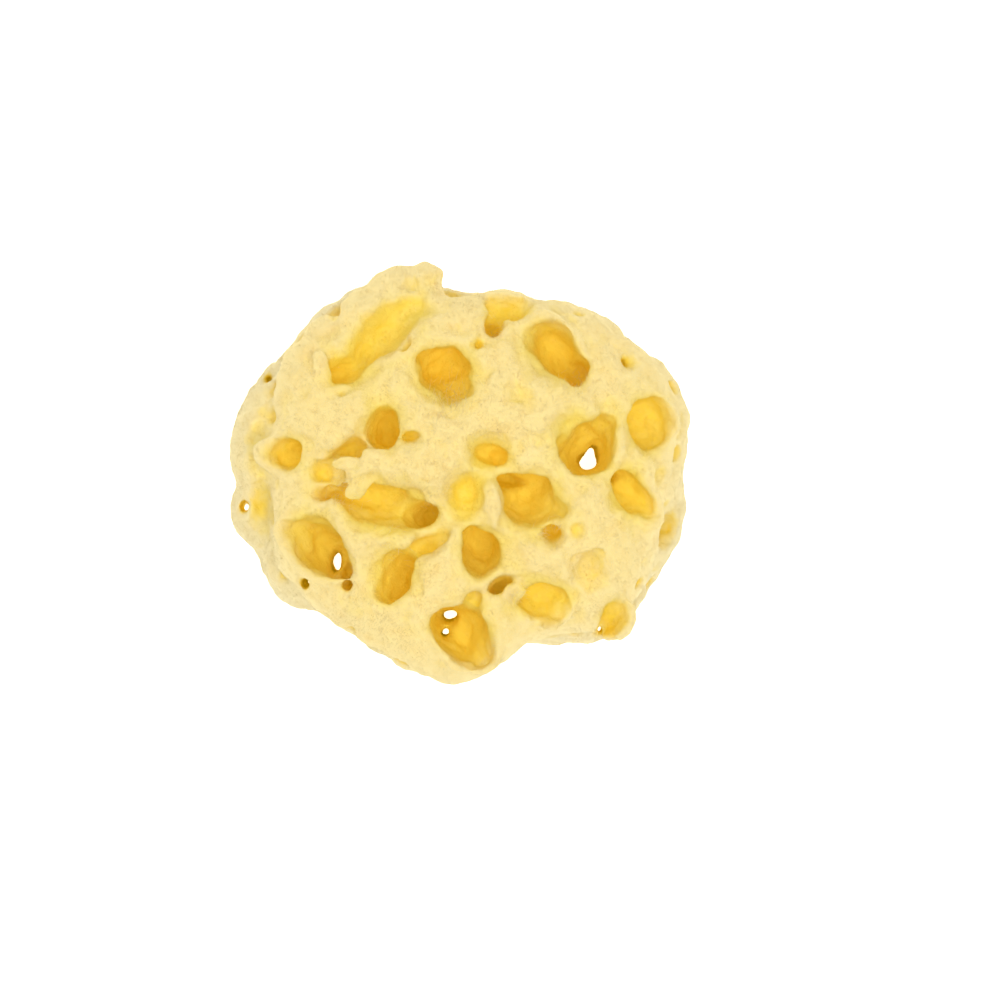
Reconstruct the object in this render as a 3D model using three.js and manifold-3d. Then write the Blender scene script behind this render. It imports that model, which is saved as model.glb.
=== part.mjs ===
// A small natural bath sponge, dried and bleached. It grew as one piece on a rock and was cut off flat there,
// so it lies on that cut. Wide vents open on its top and sides, and several run right through to the cut.
// Millimetres, +Z up, +X along the widest way. The origin is the middle of the cut, below the middle of the sponge.
import * as THREE from "three";
import { mergeVertices } from "three/addons/utils/BufferGeometryUtils.js";
import Module from "manifold-3d";

// Driving dimensions.
const HEIGHT = 44; // from the cut to the top of the crown
const SKIRT_TOP = 20; // the skirt is the low, wide growth that shows round the foot of the crown
const SKIRT_WAIST = 9; // height at which the skirt is widest
const CROWN_WAIST = 22; // height at which the crown is widest
const CROWN_FOOT = -9; // how far the crown reached below the cut before it was made
const SKIRT_FOOT = -9;
const ROUNDNESS = 0.72; // 1 gives a plain ellipsoid, and less gives fuller shoulders
const LUMP_DETAIL = 8; // subdivisions of the icosahedron under the skirt and the crown
const LOBE_DETAIL = 3;
const MOUTH_FLARE = 1.14; // a vent's mouth is this much wider than its throat
const UNEVENNESS = 0.09; // how far a vent's rim strays from a true ellipse
const FULL_TURN = 2 * Math.PI;

const toRadians = THREE.MathUtils.degToRad;

// Outlines seen from above, anticlockwise from the right-hand end.
const SKIRT_OUTLINE = [
  [43.8, 0.0], [43.4, 6.0], [41.2, 14.0], [37.0, 20.5], [30.0, 27.0], [22.0, 31.5], [12.0, 33.0],
  [2.0, 34.0], [-8.0, 36.0], [-16.5, 37.0], [-21.4, 36.6], [-27.8, 30.6], [-34.2, 24.8], [-38.2, 21.4],
  [-42.3, 14.0], [-45.0, 9.4], [-44.3, 0.0], [-44.7, -9.5], [-43.2, -14.2], [-39.2, -15.8],
  [-38.6, -19.6], [-34.3, -24.6], [-27.0, -27.0], [-18.0, -30.5], [-9.0, -33.5], [0.0, -34.5],
  [12.0, -33.0], [19.5, -33.9], [28.9, -32.1], [33.2, -29.4], [35.5, -25.6], [40.6, -18.1], [43.3, -9.4],
];
const CROWN_OUTLINE = [
  [45.0, 9.0], [43.6, 14.2], [41.9, 18.7], [38.6, 22.3], [31.6, 28.2], [24.0, 32.4], [17.0, 34.0],
  [10.0, 34.6], [0.0, 35.5], [-9.0, 37.2], [-16.5, 37.0], [-22.5, 34.8], [-27.5, 30.6], [-32.6, 25.4],
  [-35.8, 19.0], [-36.8, 10.0], [-36.4, 2.0], [-36.9, -6.0], [-36.7, -13.0], [-35.0, -18.4],
  [-31.0, -22.8], [-25.2, -27.6], [-19.5, -32.2], [-12.5, -36.6], [-5.0, -39.2], [0.0, -41.1],
  [5.0, -39.1], [10.4, -35.2], [12.8, -32.6], [20.0, -31.4], [28.0, -29.6], [33.2, -25.8],
  [37.0, -19.4], [39.6, -11.0], [42.4, -2.0],
];

// Lobes that grew out between the skirt and the crown: middle, half sizes, and turn in degrees from +X.
const LOBES = [
  { name: "west_lobe", at: [-35.4, 5.5, 16], half: [9.6, 13, 12], turn: -4 },
  { name: "west_low_lobe", at: [-35.4, -6.0, 15], half: [9.3, 9.6, 10], turn: 0 },
  { name: "south_west_lobe", at: [-29.2, -17, 13], half: [9.8, 9.8, 11], turn: 0 },
  { name: "south_east_lobe", at: [22, -22.2, 13], half: [14.5, 11.2, 12], turn: 4 },
  { name: "east_lobe", at: [33.5, -9, 16], half: [10, 16, 12], turn: -16 },
  { name: "north_east_lobe", at: [26, 17, 13], half: [13, 11.5, 13], turn: -40 },
  { name: "north_lobe", at: [3, 25.5, 14], half: [15, 9, 12], turn: 5 },
  { name: "north_west_lobe", at: [-21, 24.5, 14], half: [13.5, 9.5, 14], turn: 42 },
  { name: "south_lobe", at: [-4, -28, 12], half: [13, 9, 12], turn: -20 },
  { name: "ear", at: [-6.0, 36.0, 28], half: [4.4, 5.2, 5.0], turn: 0 },
  { name: "ear_shoulder", at: [-11.2, 34.4, 26], half: [7.0, 5.4, 7.0], turn: -8 },
];

// Low swellings of the crown: place from above, spread and rise.
const SWELLINGS = [
  { x: 25, y: -9, spread: 13, rise: 1.6 },
  { x: -8, y: 3, spread: 8, rise: 1.8 },
  { x: -6, y: 24, spread: 9, rise: 1.4 },
  { x: 10, y: 14, spread: 9, rise: 1.6 },
  { x: -28, y: 12, spread: 8, rise: 1.6 },
  { x: 1, y: -31, spread: 9, rise: 2.4 },
  { x: -27, y: -16, spread: 8, rise: 1.2 },
];

// Vents that open on top. at: where the mouth is, seen from above. half: half its length and half its width.
// turn: degrees from +X to its length. deep: how far it goes in. lean: how far its end lies from below its mouth.
const TOP_VENTS = [
  { name: "north", at: [-2.4, 19.6], half: [5.6, 5.2], turn: 10, deep: 22, lean: [0, -5] },
  { name: "north_notch", at: [4.6, 25.0], half: [1.3, 1.1], turn: 45, deep: 5, lean: [-2, -2] },
  { name: "north_west", at: [-14.2, 9.1], half: [4.5, 3.1], turn: 82, deep: 25, lean: [2, -4] },
  { name: "north_west_slit", at: [-8.5, 6.7], half: [1.8, 1.0], turn: 12, deep: 7, lean: [-3, 0] },
  { name: "north_east", at: [19.2, 22.6], half: [7.2, 4.9], turn: -52, deep: 17, lean: [3, -4] },
  { name: "channel", at: [-13.8, 27.6], half: [10.0, 3.7], turn: 40, deep: 9, lean: [-2, -1] },
  { name: "channel_foot", at: [-21.0, 20.2], half: [5.4, 3.8], turn: 35, deep: 13, lean: [-3, -1] },
  { name: "top_valley", at: [10.4, 32.2], half: [5.2, 2.8], turn: -12, deep: 6, lean: [-2, -3] },
  { name: "top_valley_pit", at: [6.6, 28.4], half: [2.4, 1.9], turn: 60, deep: 10, lean: [0, -3] },
  { name: "centre_upper", at: [6.3, 3.2], half: [3.9, 3.0], turn: -20, deep: 8, lean: [3, -3] },
  { name: "centre_bowl", at: [0.6, -4.4], half: [4.4, 3.6], turn: 70, deep: 4.5, lean: [0, 0] },
  { name: "centre", at: [13.7, -4.9], half: [6.0, 5.3], turn: -25, deep: 15, lean: [-2, 3] },
  { name: "east", at: [37.2, 9.4], half: [5.8, 4.7], turn: 78, deep: 15, lean: [-5, 0] },
  { name: "east_throat", at: [25.6, 5.2], half: [6.2, 5.6], turn: 60, deep: 20, lean: [-1, -4] },
  { name: "east_shaft", at: [25.4, 2.8], half: [2.8, 2.2], turn: 75, deep: 60, lean: [0, 0] },
  { name: "east_tail", at: [33.6, -4.2], half: [6.2, 3.5], turn: -50, deep: 11, lean: [-4, 3] },
  { name: "centre_west", at: [-11.6, -6.6], half: [8.4, 4.6], turn: -8, deep: 9, lean: [4, -1] },
  { name: "centre_west_throat", at: [-7.0, -8.4], half: [3.2, 3.0], turn: 20, deep: 19, lean: [7, -2] },
  { name: "west", at: [-33.2, 3.4], half: [3.7, 3.0], turn: 20, deep: 14, lean: [7, 0] },
  { name: "west_slit", at: [-25.2, -3.8], half: [3.1, 1.3], turn: 4, deep: 14, lean: [3, -1] },
  { name: "west_bowl", at: [-24.6, 0.4], half: [3.2, 2.6], turn: 60, deep: 6, lean: [2, 0] },
  { name: "west_hollow", at: [-19.6, 4.2], half: [4.0, 2.6], turn: 15, deep: 6, lean: [3, 2] },
  { name: "south_west", at: [-26.0, -14.8], half: [7.6, 4.7], turn: -48, deep: 28, lean: [6, -6] },
  { name: "south_west_shaft", at: [-22.6, -17.4], half: [2.5, 1.6], turn: 80, deep: 60, lean: [0, 0] },
  { name: "south_west_inner", at: [-12.3, -20.5], half: [6.2, 3.7], turn: 66, deep: 22, lean: [4, -2] },
  { name: "inner_groove", at: [-6.2, -13.8], half: [4.0, 1.7], turn: 22, deep: 4, lean: [-2, -2] },
  { name: "south_centre", at: [4.8, -14.8], half: [5.6, 3.9], turn: -78, deep: 24, lean: [-3, 4] },
  { name: "south_slot", at: [8.2, -21.2], half: [3.5, 1.7], turn: 22, deep: 14, lean: [0, -3] },
  { name: "south_bowl", at: [15.9, -25.0], half: [5.8, 3.9], turn: -14, deep: 10, lean: [-2, 4] },
  { name: "hair_vent", at: [18.0, -11.6], half: [2.1, 1.9], turn: 50, deep: 10, lean: [1, 1] },
  { name: "south_east_bowl", at: [25.4, -18.6], half: [4.6, 3.6], turn: -50, deep: 3.6, lean: [-1, 1] },
  { name: "south", at: [0.9, -31.2], half: [6.8, 5.0], turn: -42, deep: 24, lean: [-4, 4] },
  { name: "south_shaft", at: [-1.7, -28.2], half: [2.1, 1.3], turn: 10, deep: 60, lean: [0, 0] },
  { name: "south_gap", at: [3.2, -24.6], half: [2.3, 1.5], turn: 60, deep: 5, lean: [0, 0] },
  { name: "south_east", at: [30.0, -27.6], half: [3.6, 2.7], turn: 75, deep: 20, lean: [-2, -2] },
  { name: "east_slit", at: [32.3, 21.4], half: [1.5, 1.1], turn: -30, deep: 6, lean: [-3, -2] },
];

// Vents that open on the flanks. bearing: degrees from +X round to the mouth. height: above the cut.
// half: half its width round the sponge and half its height. rise: how far its end lies above its mouth.
const FLANK_VENTS = [
  { name: "east_low", bearing: 3, height: 12, half: [4.2, 3.4], deep: 11, rise: 3 },
  { name: "east_north", bearing: 25, height: 15, half: [3.7, 5.0], deep: 15, rise: 2 },
  { name: "east_north_high", bearing: 37, height: 23, half: [3.4, 4.6], deep: 13, rise: -3 },
  { name: "north_east_low", bearing: 49, height: 11, half: [4.6, 3.6], deep: 13, rise: 3 },
  { name: "north_middle", bearing: 67, height: 21, half: [5.4, 3.8], deep: 14, rise: 0 },
  { name: "north_low", bearing: 84, height: 9, half: [4.4, 3.2], deep: 13, rise: 4 },
  { name: "north_high", bearing: 91, height: 27, half: [3.2, 3.9], deep: 11, rise: -3 },
  { name: "north_west_low", bearing: 109, height: 12, half: [5.0, 3.7], deep: 16, rise: 3 },
  { name: "north_west_high", bearing: 127, height: 24, half: [3.8, 5.2], deep: 13, rise: -3 },
  { name: "west_north_low", bearing: 142, height: 11, half: [5.0, 3.8], deep: 14, rise: 2 },
  { name: "west_north_high", bearing: 153, height: 24, half: [2.8, 3.6], deep: 10, rise: -3 },
  { name: "west_middle", bearing: 164, height: 14, half: [3.6, 4.2], deep: 12, rise: 1 },
  { name: "west_low", bearing: 186, height: 11, half: [4.8, 3.6], deep: 13, rise: 4 },
  { name: "south_west_low", bearing: 209, height: 10, half: [3.9, 3.6], deep: 12, rise: 5 },
  { name: "south_middle_west", bearing: 233, height: 19, half: [5.2, 3.8], deep: 12, rise: 3 },
  { name: "south_west_high", bearing: 246, height: 25, half: [2.6, 2.6], deep: 9, rise: -2 },
  { name: "south_low", bearing: 254, height: 9, half: [4.4, 3.5], deep: 13, rise: 3 },
  { name: "south_tip", bearing: 268, height: 20, half: [3.6, 4.4], deep: 11, rise: 1 },
  { name: "south_arch", bearing: 299, height: 21, half: [5.6, 3.7], deep: 9, rise: -2 },
  { name: "south_east_low", bearing: 306, height: 8, half: [3.8, 3.2], deep: 12, rise: 4 },
  { name: "south_east_middle", bearing: 330, height: 15, half: [5.2, 3.8], deep: 14, rise: 3 },
  { name: "east_south_high", bearing: 345, height: 22, half: [3.0, 3.8], deep: 9, rise: -2 },
];

// Hollows of the cut face. half: half the length and half the width.
const BASE_HOLLOWS = [
  { name: "base_north", at: [-8, 20], half: [5.0, 3.7], turn: 30, deep: 13, lean: [2, 2] },
  { name: "base_north_east", at: [17, 17], half: [5.2, 3.7], turn: -40, deep: 14, lean: [2, 4] },
  { name: "base_middle", at: [2, -2], half: [4.4, 3.6], turn: 10, deep: 15, lean: [2, -2] },
  { name: "base_west", at: [-26, 3], half: [4.6, 3.7], turn: 70, deep: 12, lean: [2, 1] },
  { name: "base_south_east", at: [18, -16], half: [5.0, 3.7], turn: 35, deep: 11, lean: [-2, -2] },
];

const wasm = await Module();
wasm.setup();

// Distance from the middle to a closed outline at any bearing, in radians.
function reachOf(points) {
  const curve = new THREE.CatmullRomCurve3(points.map(([x, y]) => new THREE.Vector3(x, y, 0)), true, "centripetal");
  const samples = curve
    .getPoints(points.length * 12)
    .map((p) => ({ bearing: (Math.atan2(p.y, p.x) + FULL_TURN) % FULL_TURN, reach: Math.hypot(p.x, p.y) }))
    .sort((a, b) => a.bearing - b.bearing);
  return (bearing) => {
    const wanted = (bearing + FULL_TURN) % FULL_TURN;
    const next = samples.findIndex((s) => s.bearing >= wanted);
    const after = samples[Math.max(next, 0)];
    const before = samples[next > 0 ? next - 1 : samples.length - 1];
    const gap = (after.bearing - before.bearing + FULL_TURN) % FULL_TURN || 1;
    const share = ((wanted - before.bearing + FULL_TURN) % FULL_TURN) / gap;
    return THREE.MathUtils.lerp(before.reach, after.reach, share);
  };
}

function swell(x, y) {
  return SWELLINGS.reduce((sum, s) => sum + s.rise * Math.exp(-((x - s.x) ** 2 + (y - s.y) ** 2) / s.spread ** 2), 0);
}

// A lump of growth: its outline from above, and the heights of its underside, widest ring and top.
const skirt = { reach: reachOf(SKIRT_OUTLINE), low: SKIRT_FOOT, waist: SKIRT_WAIST, top: SKIRT_TOP, swelling: 0 };
const crown = { reach: reachOf(CROWN_OUTLINE), low: CROWN_FOOT, waist: CROWN_WAIST, top: HEIGHT - 2, swelling: 1 };

// The height of a lump's upper surface over a point, held to its shoulder past the outline.
function topOver(lump, x, y) {
  const share = Math.min(Math.hypot(x, y) / lump.reach(Math.atan2(y, x)), 0.97);
  const level = share ** (1 / ROUNDNESS);
  const climb = Math.sqrt(1 - level ** 2) ** ROUNDNESS;
  return lump.waist + (lump.top - lump.waist) * climb + lump.swelling * swell(x, y) * climb;
}

// How far from the middle a lump's side stands at a bearing and height.
function sideAt(lump, bearing, height) {
  const span = height > lump.waist ? lump.top - lump.waist : lump.waist - lump.low;
  const climb = Math.min(Math.abs(height - lump.waist) / span, 0.98) ** (1 / ROUNDNESS);
  return lump.reach(bearing) * Math.sqrt(1 - climb ** 2) ** ROUNDNESS;
}

// A closed geometry as a solid, with its shared corners merged.
function solidOf(geometry) {
  geometry.deleteAttribute("normal");
  geometry.deleteAttribute("uv");
  const merged = mergeVertices(geometry, 1e-4);
  return new wasm.Manifold(
    new wasm.Mesh({
      numProp: 3,
      vertProperties: merged.attributes.position.array,
      triVerts: new Uint32Array(merged.index.array),
    }),
  );
}

// Moves every corner of a geometry to where place says it belongs.
function reshaped(geometry, place) {
  const corners = geometry.attributes.position;
  const corner = new THREE.Vector3();
  for (let i = 0; i < corners.count; i++) {
    corner.fromBufferAttribute(corners, i);
    place(corner);
    corners.setXYZ(i, corner.x, corner.y, corner.z);
  }
  return geometry;
}

function lumpSolid(lump) {
  const ball = reshaped(new THREE.IcosahedronGeometry(1, LUMP_DETAIL), (p) => {
    const level = Math.hypot(p.x, p.y);
    const bearing = Math.atan2(p.y, p.x);
    const climb = Math.abs(p.z) ** ROUNDNESS;
    const out = lump.reach(bearing) * level ** ROUNDNESS;
    const upper = p.z > 0;
    p.x = out * Math.cos(bearing);
    p.y = out * Math.sin(bearing);
    p.z = lump.waist + climb * (upper ? lump.top - lump.waist : lump.low - lump.waist);
    if (upper) p.z += climb * lump.swelling * swell(p.x, p.y);
  });
  return solidOf(ball);
}

function lobeSolid({ at, half, turn }) {
  const ball = new THREE.IcosahedronGeometry(1, LOBE_DETAIL).scale(...half).rotateZ(toRadians(turn));
  return solidOf(ball.translate(...at));
}

// A blind vent: a rounded finger that widens at its mouth. mouth is its place on the skin, inward its way in,
// and along the direction of its length.
function fingerSolid({ mouth, inward, along, half, deep }) {
  const [long, wide] = half;
  const sides = long > 5 ? 10 : long > 2.6 ? 9 : 7;
  const outside = long * 0.9 + 1.5;
  const phase = mouth.x + 1.7 * mouth.y;
  const w = inward.clone().normalize();
  const u = along.clone().addScaledVector(w, -along.dot(w)).normalize();
  const v = w.clone().cross(u);
  const finger = new THREE.SphereGeometry(1, sides, long > 5 ? 7 : 6).rotateX(Math.PI / 2);
  reshaped(finger, (p) => {
    const depth = p.z;
    const ring = Math.hypot(p.x, p.y) || 1;
    const inside = depth > 0;
    const taper = inside ? (1 - depth ** 2.6) ** 0.42 : (1 - depth ** 4) ** 0.25;
    const flare = inside ? THREE.MathUtils.lerp(MOUTH_FLARE, 0.9, Math.sqrt(depth)) : MOUTH_FLARE;
    const uneven = 1 + UNEVENNESS * Math.cos(3 * Math.atan2(p.y, p.x) + phase);
    const a = (p.x / ring) * long * taper * flare * uneven;
    const b = (p.y / ring) * wide * taper * flare * uneven;
    p.copy(mouth)
      .addScaledVector(u, a)
      .addScaledVector(v, b)
      .addScaledVector(w, depth * (inside ? deep : outside));
  });
  return solidOf(finger);
}

function topVent({ at: [x, y], half, turn, deep, lean }) {
  return fingerSolid({
    mouth: new THREE.Vector3(x, y, topOver(crown, x, y)),
    inward: new THREE.Vector3(lean[0], lean[1], -deep),
    along: new THREE.Vector3(Math.cos(toRadians(turn)), Math.sin(toRadians(turn)), 0),
    half,
    deep,
  });
}

function flankVent({ bearing, height, half, deep, rise }) {
  const angle = toRadians(bearing);
  const outward = new THREE.Vector3(Math.cos(angle), Math.sin(angle), 0);
  const out = Math.max(sideAt(skirt, angle, height), sideAt(crown, angle, height));
  return fingerSolid({
    mouth: outward.clone().multiplyScalar(out).setZ(height),
    inward: outward.clone().multiplyScalar(-deep).setZ(rise),
    along: new THREE.Vector3(-Math.sin(angle), Math.cos(angle), 0),
    half,
    deep,
  });
}

function baseHollow({ at: [x, y], half, turn, deep, lean }) {
  return fingerSolid({
    mouth: new THREE.Vector3(x, y, 0),
    inward: new THREE.Vector3(lean[0], lean[1], deep),
    along: new THREE.Vector3(Math.cos(toRadians(turn)), Math.sin(toRadians(turn)), 0),
    half,
    deep,
  });
}

// The largest of the pieces that the cuts left: the rest are crumbs that a real sponge would have shed.
function largestPiece(solid) {
  return solid.decompose().reduce((best, piece) => (piece.volume() > best.volume() ? piece : best));
}

function spongeGeometry() {
  const rock = solidOf(new THREE.BoxGeometry(200, 200, 100).translate(0, 0, -50));
  const lumps = [lumpSolid(skirt), lumpSolid(crown), ...LOBES.map(lobeSolid)];
  const grown = lumps.reduce((body, lump) => body.add(lump)).subtract(rock);
  const vents = [...TOP_VENTS.map(topVent), ...FLANK_VENTS.map(flankVent), ...BASE_HOLLOWS.map(baseHollow)];
  const open = largestPiece(vents.reduce((body, vent) => body.subtract(vent), grown));
  const mesh = open.getMesh();
  return new THREE.BufferGeometry()
    .setAttribute("position", new THREE.BufferAttribute(mesh.vertProperties, 3))
    .setIndex(new THREE.BufferAttribute(mesh.triVerts, 1));
}

const skeleton = new THREE.MeshStandardMaterial({ color: 0xf8dd8c, roughness: 0.95, metalness: 0 });
const geometry = spongeGeometry();
geometry.computeVertexNormals();
geometry.computeBoundingBox();
const middle = geometry.boundingBox.getCenter(new THREE.Vector3());
geometry.translate(-middle.x, -middle.y, 0);

const sponge = new THREE.Mesh(geometry, skeleton);
sponge.name = "sponge";

const part = new THREE.Group();
part.add(sponge);

export default part;
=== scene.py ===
# %% [markdown]
# # A natural bath sponge
# This notebook models a small honeycomb sea sponge, dried and bleached, in Blender. Its plain solid comes
# from the CAD frame. A real sponge is one soft skeleton of fibres, full of wide vents, so the work here
# is carving, softening and colouring one body, and then growing a fine down on it.

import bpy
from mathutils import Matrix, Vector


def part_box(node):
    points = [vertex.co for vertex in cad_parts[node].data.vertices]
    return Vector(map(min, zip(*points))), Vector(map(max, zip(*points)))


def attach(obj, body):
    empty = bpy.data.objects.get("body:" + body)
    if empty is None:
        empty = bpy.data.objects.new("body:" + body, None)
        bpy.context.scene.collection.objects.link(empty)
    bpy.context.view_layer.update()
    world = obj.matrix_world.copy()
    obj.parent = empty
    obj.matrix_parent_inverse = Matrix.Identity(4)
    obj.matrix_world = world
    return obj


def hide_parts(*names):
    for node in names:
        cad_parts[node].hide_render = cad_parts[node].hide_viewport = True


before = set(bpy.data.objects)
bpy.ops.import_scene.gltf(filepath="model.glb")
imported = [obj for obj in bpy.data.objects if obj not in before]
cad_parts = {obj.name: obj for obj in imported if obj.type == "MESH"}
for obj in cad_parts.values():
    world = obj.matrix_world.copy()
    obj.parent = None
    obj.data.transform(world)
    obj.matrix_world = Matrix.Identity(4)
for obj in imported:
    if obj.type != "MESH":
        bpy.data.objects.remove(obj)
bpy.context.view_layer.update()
sponge_low, sponge_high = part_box("sponge")
WIDE_AS_DRAWN = 89.6  # the positions below are in millimetres on a sponge this wide
MM = (sponge_high[0] - sponge_low[0]) / WIDE_AS_DRAWN
print("one drawn millimetre is", round(MM, 6), "m")

# %% [markdown]
# ## The camera
# The sponge lies on its cut, and is looked at from straight above. A short lens would swell the crown, so
# a long one is hung high up: it draws the top and the skirt at one scale.

# %% Camera
import bpy
from math import cos, hypot, pi, radians, sin, tau
from mathutils import Vector, noise
from mathutils.bvhtree import BVHTree

noise.seed_set(2)  # the same sponge every time
FRAME_WIDE = 195.6 * MM  # how much the camera takes in, at the height of the widest ring
AIM = (8.3 * MM, -5.4 * MM)  # the point under the middle of the view
LENS = 200
WIDEST_RING = 16 * MM
lens_data = bpy.data.cameras.new("camera")
lens_data.lens = LENS
lens_data.clip_start = 0.01
camera = bpy.data.objects.new("camera", lens_data)
bpy.context.scene.collection.objects.link(camera)
camera_reach = LENS * FRAME_WIDE / lens_data.sensor_width
camera.location = (*AIM, WIDEST_RING + camera_reach)
bpy.context.scene.camera = camera
print("camera", round(camera_reach, 3), "m above the widest ring")

# %% [markdown]
# ## Floor and light
# A white light table shows which vents run right through, because its light comes up through them. The
# floor could be plain paper, but then those vents would look dark, so it is a plain disc that glows a
# little. The light is two wide soft boxes overhead in a white room, so that there is hardly a shadow.

# %% Floor, lamps and room
import bmesh


def object_of(bm, name):
    """Turns a bmesh into an object at the origin."""
    mesh = bpy.data.meshes.new(name)
    bm.to_mesh(mesh)
    bm.free()
    thing = bpy.data.objects.new(name, mesh)
    bpy.context.scene.collection.objects.link(thing)
    return thing


bm = bmesh.new()
bmesh.ops.create_circle(bm, cap_ends=True, segments=64, radius=2.0)
light_table = object_of(bm, "light_table")
table_white = bpy.data.materials.new("table_white")
table_white.use_nodes = True
table_shader = table_white.node_tree.nodes["Principled BSDF"]
table_shader.inputs["Base Color"].default_value = (0.9, 0.9, 0.9, 1)
table_shader.inputs["Roughness"].default_value = 0.8
table_shader.inputs["Emission Color"].default_value = (1, 1, 1, 1)
table_shader.inputs["Emission Strength"].default_value = 0.85
light_table.data.materials.append(table_white)


def soft_box(name, place, size, watts, target=(0, 0, 0.02)):
    lamp = bpy.data.lights.new(name, "AREA")
    lamp.size = size
    lamp.energy = watts
    holder = bpy.data.objects.new(name, lamp)
    holder.location = place
    holder.rotation_euler = (Vector(target) - Vector(place)).to_track_quat("-Z", "Y").to_euler()
    bpy.context.scene.collection.objects.link(holder)


soft_box("key_box", (0.15, -0.16, 0.85), 0.5, 3.05)
soft_box("fill_box", (-0.3, 0.25, 0.75), 0.7, 1.5)
room = bpy.data.worlds.new("white_room")
room.use_nodes = True
room.node_tree.nodes["Background"].inputs["Color"].default_value = (1, 1, 1, 1)
room.node_tree.nodes["Background"].inputs["Strength"].default_value = 0.57
bpy.context.scene.world = room
bpy.context.scene.view_settings.view_transform = "Standard"
bpy.context.scene.cycles.diffuse_bounces = 8
bpy.context.scene.cycles.max_bounces = 10
print("lamps:", [lamp.name for lamp in bpy.data.lights], "over a", light_table.name)

# %% [markdown]
# ## The body, step 1: tables of the vents
# The vents are where the living sponge drew water in and let it out. Each one is a rounded passage that
# leans, so that one of its walls is a slope in full light and the other hides under its rim. Round the
# mouth the skin sinks into a wide dish, and the ridges are what is left between the dishes. The tables
# say where each of them is.

# %% Where the vents, dishes and shafts are, in mm
# Each row: place from above, half length, half width, turn in degrees, depth, how far the end leans in x and
# y, and how many times wider than the vent the dish round its mouth is.
TOP_VENTS = [
    (-2.4, 19.8, 5.3, 4.8, 10, 13, -1, 1, 1.22),
    (-0.7, 16.4, 3.4, 3.0, 60, 9, 0, 2, 1.15),
    (4.7, 25.0, 1.3, 1.0, 45, 4, -2, -2, 1.3),
    (-14.0, 8.8, 4.4, 3.1, 84, 13, 1, -2, 1.2),
    (-8.6, 6.7, 1.9, 1.0, 10, 5, -2, 0, 1.3),
    (18.6, 23.4, 6.2, 4.2, -52, 12, 2, -3, 1.25),
    (22.5, 19.8, 3.4, 2.7, -60, 16, 2, -2, 1.1),
    (-17.6, 23.4, 4.4, 2.6, 48, 5, -1, -2, 1.5),
    (-21.6, 19.8, 4.4, 2.6, 15, 7, -3, -1, 1.4),
    (10.0, 32.0, 4.6, 2.4, -14, 3.5, -2, -3, 1.35),
    (6.6, 28.4, 2.3, 1.7, 60, 7, 0, -2, 1.4),
    (6.6, 3.2, 3.3, 2.1, -18, 5, 2, -1, 1.5),
    (14.4, -5.4, 5.6, 5.1, -25, 10, -2, 2, 1.12),
    (11.4, -2.6, 4.2, 2.3, -18, 19, -3, 2, 1.0),
    (36.4, 9.5, 5.3, 4.4, 80, 6, -4, 0, 1.25),
    (25.2, 5.2, 5.6, 4.8, 55, 13, 0, -3, 1.15),
    (22.6, 5.6, 4.2, 2.8, 20, 9, 1, -2, 1.15),
    (28.0, 7.4, 4.4, 2.6, 80, 9, -1, -2, 1.15),
    (33.4, -3.8, 5.0, 3.0, -50, 5, -4, 3, 1.4),
    (31.6, -1.9, 2.0, 1.7, 80, 13, -5, 2, 1.1),
    (38.9, -0.2, 1.7, 1.3, 60, 2, 0, 0, 1.4),
    (-13.6, -6.4, 8.0, 3.7, -10, 3, 4, 0, 1.2),
    (-7.6, -8.0, 4.2, 3.0, 10, 13, 5, -1, 1.15),
    (-25.0, -3.8, 3.1, 1.3, 4, 8, 3, -1, 1.3),
    (-26.2, 0.6, 2.6, 1.9, 40, 3, 2, 0, 1.5),
    (-20.2, 4.4, 3.4, 1.6, 20, 2, 2, 1, 1.5),
    (-33.2, 3.6, 3.6, 2.7, 20, 7, 4, 0, 1.5),
    (-27.4, -14.0, 6.8, 4.4, -45, 11, 7, -4, 1.18),
    (-23.0, -17.2, 3.1, 2.6, -50, 17, 3, -2, 1.1),
    (-12.0, -20.2, 5.8, 3.5, 66, 12, 4, -1, 1.25),
    (-6.2, -13.9, 3.8, 1.5, 22, 3, -2, -2, 1.5),
    (5.0, -15.2, 4.9, 3.9, -75, 12, -1, 3, 1.2),
    (2.8, -12.0, 2.4, 2.1, 0, 15, -3, 3, 1.1),
    (8.2, -21.1, 3.3, 1.7, 22, 9, 0, -2, 1.3),
    (16.0, -24.8, 5.2, 3.5, -14, 4, -2, 3, 1.2),
    (18.0, -11.6, 2.1, 1.8, 50, 8, 1, 1, 1.25),
    (22.6, -10.9, 1.4, 0.9, 85, 2, 0, 0, 1.3),
    (1.2, -31.2, 6.2, 4.8, -42, 11, -4, 3, 1.15),
    (-1.9, -28.9, 3.4, 2.8, 0, 17, -1, 1, 1.1),
    (3.2, -24.4, 2.2, 1.5, 60, 3.5, 0, 0, 1.3),
    (30.2, -28.0, 3.4, 2.6, 75, 8, -2, -2, 1.2),
    (32.3, 21.4, 1.5, 1.1, -30, 4, -2, -1, 1.5),
    (-21.4, -21.4, 1.8, 1.1, 30, 2, 0, 0, 1.5),
]
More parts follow.
